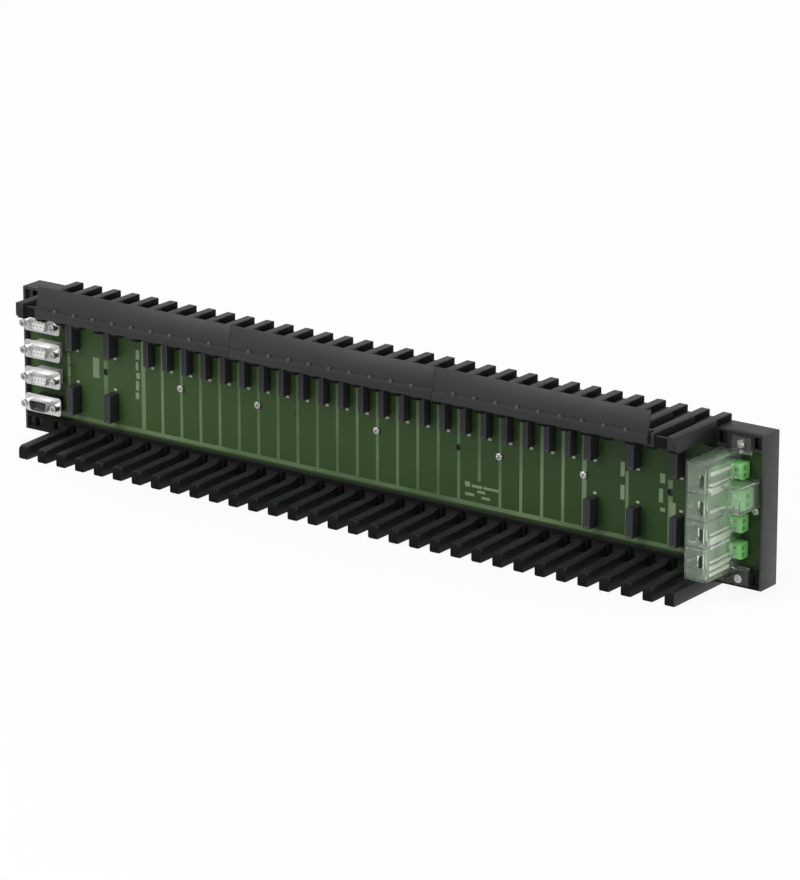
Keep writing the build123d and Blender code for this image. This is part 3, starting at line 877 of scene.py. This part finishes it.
# the side wall reaches back to the plugs
for number in (1, 2, 3, 4):
    low, high = nodeBox(f"terminal_plug_{number}")
    front, back = low.y - hoodLook["panelFront"], plugFront - hoodLook["panelGap"]
    panel = startBox("panel", (wallInside + hoodLook["panelSkin"], front, low.z - overlap),
                     (side - hoodLook["panelSkin"], back, high.z + overlap))
    applied(hood, "BOOLEAN", object=panel, operation="UNION", solver="EXACT")
    bpy.data.objects.remove(panel)
soften(hood, hoodLook["edge"])
finished(hood, hoodClear, ["terminal_hood"], merge=False)

# ledges on the inside of the side wall: real ribs, their near-opaque white a painted reflection of the light
# streaks on them
ledges = []
for level, high in ledge["rows"]:
    bottom = middleZ + level - high / 2
    bar = startBox("ledge", (wallInside - ledge["deep"], hoodLow.y + ledge["front"], bottom),
                   (wallInside - ledge["gap"], plugFront - backGap, bottom + high))
    soften(bar, ledge["edge"])
    ledges.append(bar)
finished(joined("hoodLedges", ledges), ledgeGlintWhite)

# a thin frosted sheet behind them
liner = startBox("hoodSheet",
                 (wallInside - sheet["inner"], hoodLow.y + sheet["front"], middleZ + sheet["low"]),
                 (wallInside - sheet["outer"], plugFront - backGap, middleZ + sheet["high"]))
soften(liner, sheet["edge"])
finished(liner, sheetClear)

oneTabScrew = domedScrew("tabScrew", tabScrew["radius"], tabScrew["high"])
tabScrews = spread(oneTabScrew, [(hoodLow.x + tabScrew["x"], stripFront - hoodLook["wall"], middleZ + level)
                                 for level in tabScrew["levels"]])
finished(joined("tabScrews", tabScrews), screwSteel)
print("terminals and hood done")

# The fade and the shade are in metres on the floor, for what glossy surfaces see of it
studio = {"sky": 0.8, "skyGloss": 0.55,
          "floorSize": 40, "floorPaper": 0.8, "floorRough": 0.9, "floorSheen": 0.1, "floorGlow": 0.92,
          "fade": (-0.25, 0.05), "floorFront": 0.3, "floorBack": 0.87,
          "shadeX": 0.252, "shadeFront": -0.09, "shadeBack": 0.034, "under": 0.35}
keyLight = {"place": (-0.9, -1.9, 1.5), "aim": (0, 0, 0.05), "size": 1.4, "power": 32.0}
view = {"place": (1.81605, -2.49505, 1.0193), "turn": (72.609, 0.0, 35.583), "lens": 206.28, "farthest": 100}


def combined(tree, kind, first, second):
    # sockets or plain numbers through one Math node
    node = tree.nodes.new("ShaderNodeMath")
    node.operation = kind
    for entry, value in zip(node.inputs, (first, second)):
        if isinstance(value, float):
            entry.default_value = value
        else:
            tree.links.new(value, entry)
    return node.outputs["Value"]


def floorPaper():
    # white where the camera or clear plastic looks at it, and darker towards the front in reflections
    material, tree, paper = newMaterial("floor")
    paper.inputs["Base Color"].default_value = (studio["floorPaper"],) * 3 + (1,)
    paper.inputs["Roughness"].default_value = studio["floorRough"]
    paper.inputs["Specular IOR Level"].default_value = studio["floorSheen"]
    rays = tree.nodes.new("ShaderNodeLightPath").outputs
    axes = tree.nodes.new("ShaderNodeSeparateXYZ")
    tree.links.new(tree.nodes.new("ShaderNodeTexCoord").outputs["Object"], axes.inputs["Vector"])
    x, y = axes.outputs["X"], axes.outputs["Y"]
    fade = addNode(tree, "ShaderNodeMapRange", From_Min=studio["fade"][0], From_Max=studio["fade"][1],
                   To_Min=studio["floorFront"], To_Max=studio["floorBack"])
    tree.links.new(y, fade.inputs["Value"])
    seen = combined(tree, "MAXIMUM", rays["Is Camera Ray"], rays["Is Transmission Ray"])
    # the floor between the fingers lies in their shade
    under = combined(tree, "LESS_THAN", combined(tree, "ABSOLUTE", x, 0.0), studio["shadeX"])
    under = combined(tree, "MULTIPLY", under, combined(tree, "GREATER_THAN", y, studio["shadeFront"]))
    under = combined(tree, "MULTIPLY", under, combined(tree, "LESS_THAN", y, studio["shadeBack"]))
    shade = combined(tree, "SUBTRACT", 1.0, combined(tree, "MULTIPLY", under, 1 - studio["under"]))
    shine = combined(tree, "MULTIPLY", rays["Is Glossy Ray"],
                     combined(tree, "MULTIPLY", fade.outputs["Result"], shade))
    glow = tree.nodes.new("ShaderNodeEmission")
    tree.links.new(combined(tree, "MAXIMUM", seen, shine), glow.inputs["Strength"])
    mask = combined(tree, "MAXIMUM", seen, rays["Is Glossy Ray"])
    mask = combined(tree, "MULTIPLY", mask, studio["floorGlow"])
    mixed = tree.nodes.new("ShaderNodeMixShader")
    tree.links.new(mask, mixed.inputs["Fac"])
    tree.links.new(paper.outputs["BSDF"], mixed.inputs[1])
    tree.links.new(glow.outputs["Emission"], mixed.inputs[2])
    tree.links.new(mixed.outputs["Shader"], tree.nodes["Material Output"].inputs["Surface"])
    return material


def studioSky():
    # white to the camera and through clear plastic, softer as a light and in reflections
    world = bpy.data.worlds.new("studio")
    world.use_nodes = True
    tree = world.node_tree
    rays = tree.nodes.new("ShaderNodeLightPath").outputs
    seen = combined(tree, "MAXIMUM", rays["Is Camera Ray"], rays["Is Transmission Ray"])
    lit = combined(tree, "MAXIMUM", combined(tree, "MULTIPLY", rays["Is Glossy Ray"], studio["skyGloss"]),
                   combined(tree, "MULTIPLY", rays["Is Diffuse Ray"], studio["sky"]))
    tree.nodes["Background"].inputs["Color"].default_value = (1, 1, 1, 1)
    tree.links.new(combined(tree, "MAXIMUM", seen, lit), tree.nodes["Background"].inputs["Strength"])
    return world


bpy.ops.object.select_all(action="DESELECT")
bpy.ops.mesh.primitive_plane_add(size=studio["floorSize"])
floor = settle("floor")
floor.data.materials.append(floorPaper())
bpy.context.scene.world = studioSky()

bpy.ops.object.light_add(type="AREA", location=keyLight["place"])
lamp = bpy.context.object
lamp.name = "keyLamp"
aim = Vector(keyLight["aim"]) - Vector(keyLight["place"])
lamp.rotation_euler = aim.to_track_quat("-Z", "Y").to_euler()
lamp.data.size = keyLight["size"]
lamp.data.energy = keyLight["power"]

bpy.ops.object.camera_add(location=view["place"], rotation=[math.radians(angle) for angle in view["turn"]])
camera = bpy.context.object
camera.data.lens = view["lens"]
camera.data.clip_end = view["farthest"]
bpy.context.scene.camera = camera
bpy.context.scene.view_settings.view_transform = "Standard"
print("studio done")
